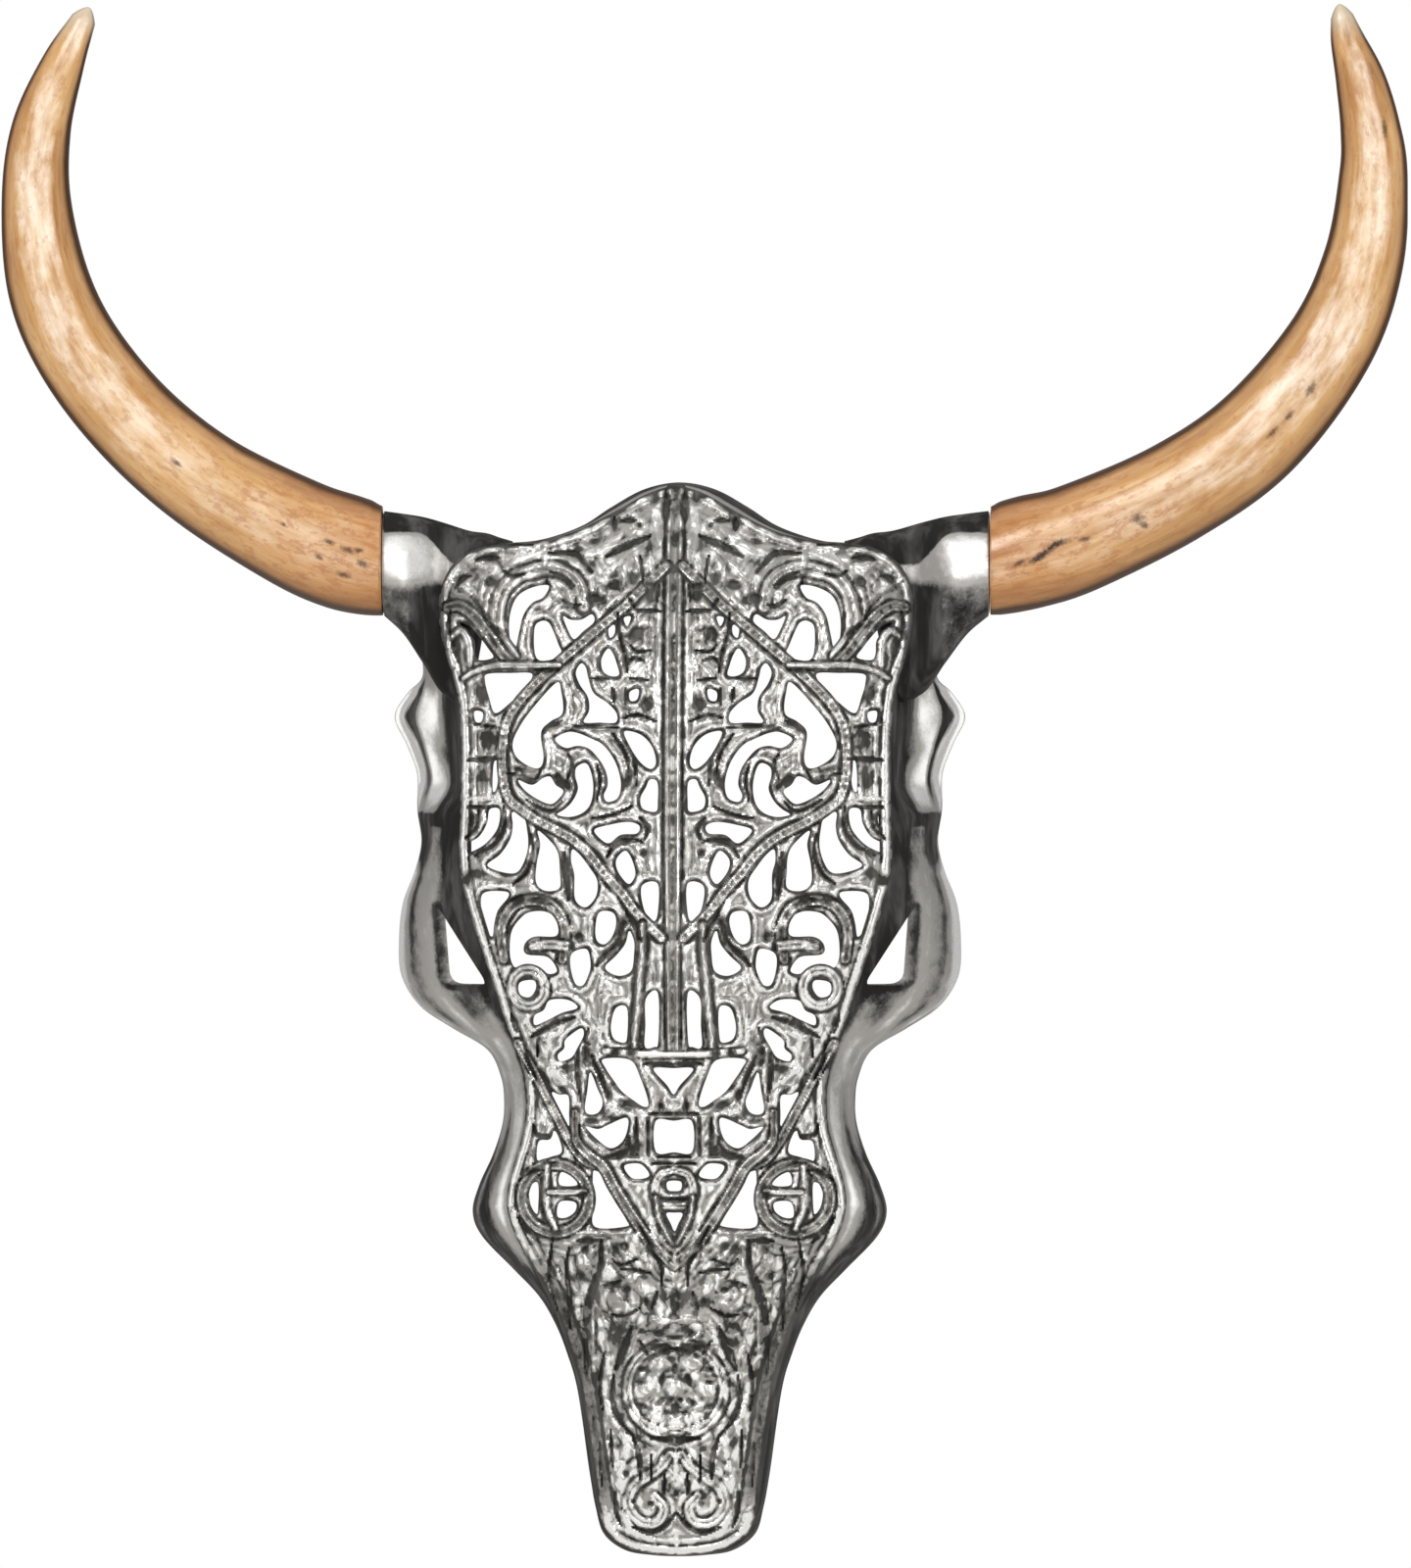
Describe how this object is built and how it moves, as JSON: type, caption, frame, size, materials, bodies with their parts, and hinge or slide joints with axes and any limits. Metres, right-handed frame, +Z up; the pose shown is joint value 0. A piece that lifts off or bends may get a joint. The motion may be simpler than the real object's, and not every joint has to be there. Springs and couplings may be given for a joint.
{
  "type": "decorative bull skull",
  "caption": "Openwork cast metal bull skull with curved wooden horns, hung on a wall by a keyhole plate.",
  "frame": {"origin": "the hanging point on the wall plane: the middle of the keyhole slot's round top, on the wall", "axes": "+Z up, +Y into the wall, the face looks along -Y, +X to the right as seen from the front"},
  "size_m": [0.5164, 0.0991, 0.5715],
  "materials": {
    "cast_aluminium": "cast relief, polished on the crests and dark in the recesses",
    "varnished_wood": "streaky tan wood under a clear gloss varnish",
    "zinc_plate": "dull zinc plating",
    "screw_steel": "plain steel"
  },
  "bodies": {
    "root": {"skull_casting": "cast_aluminium", "horn_left": "varnished_wood", "horn_right": "varnished_wood", "horn_screw_left": "screw_steel", "horn_screw_right": "screw_steel", "hanger_plate": "zinc_plate", "hanger_screw_left": "screw_steel", "hanger_screw_right": "screw_steel"}
  },
  "joints": []
}
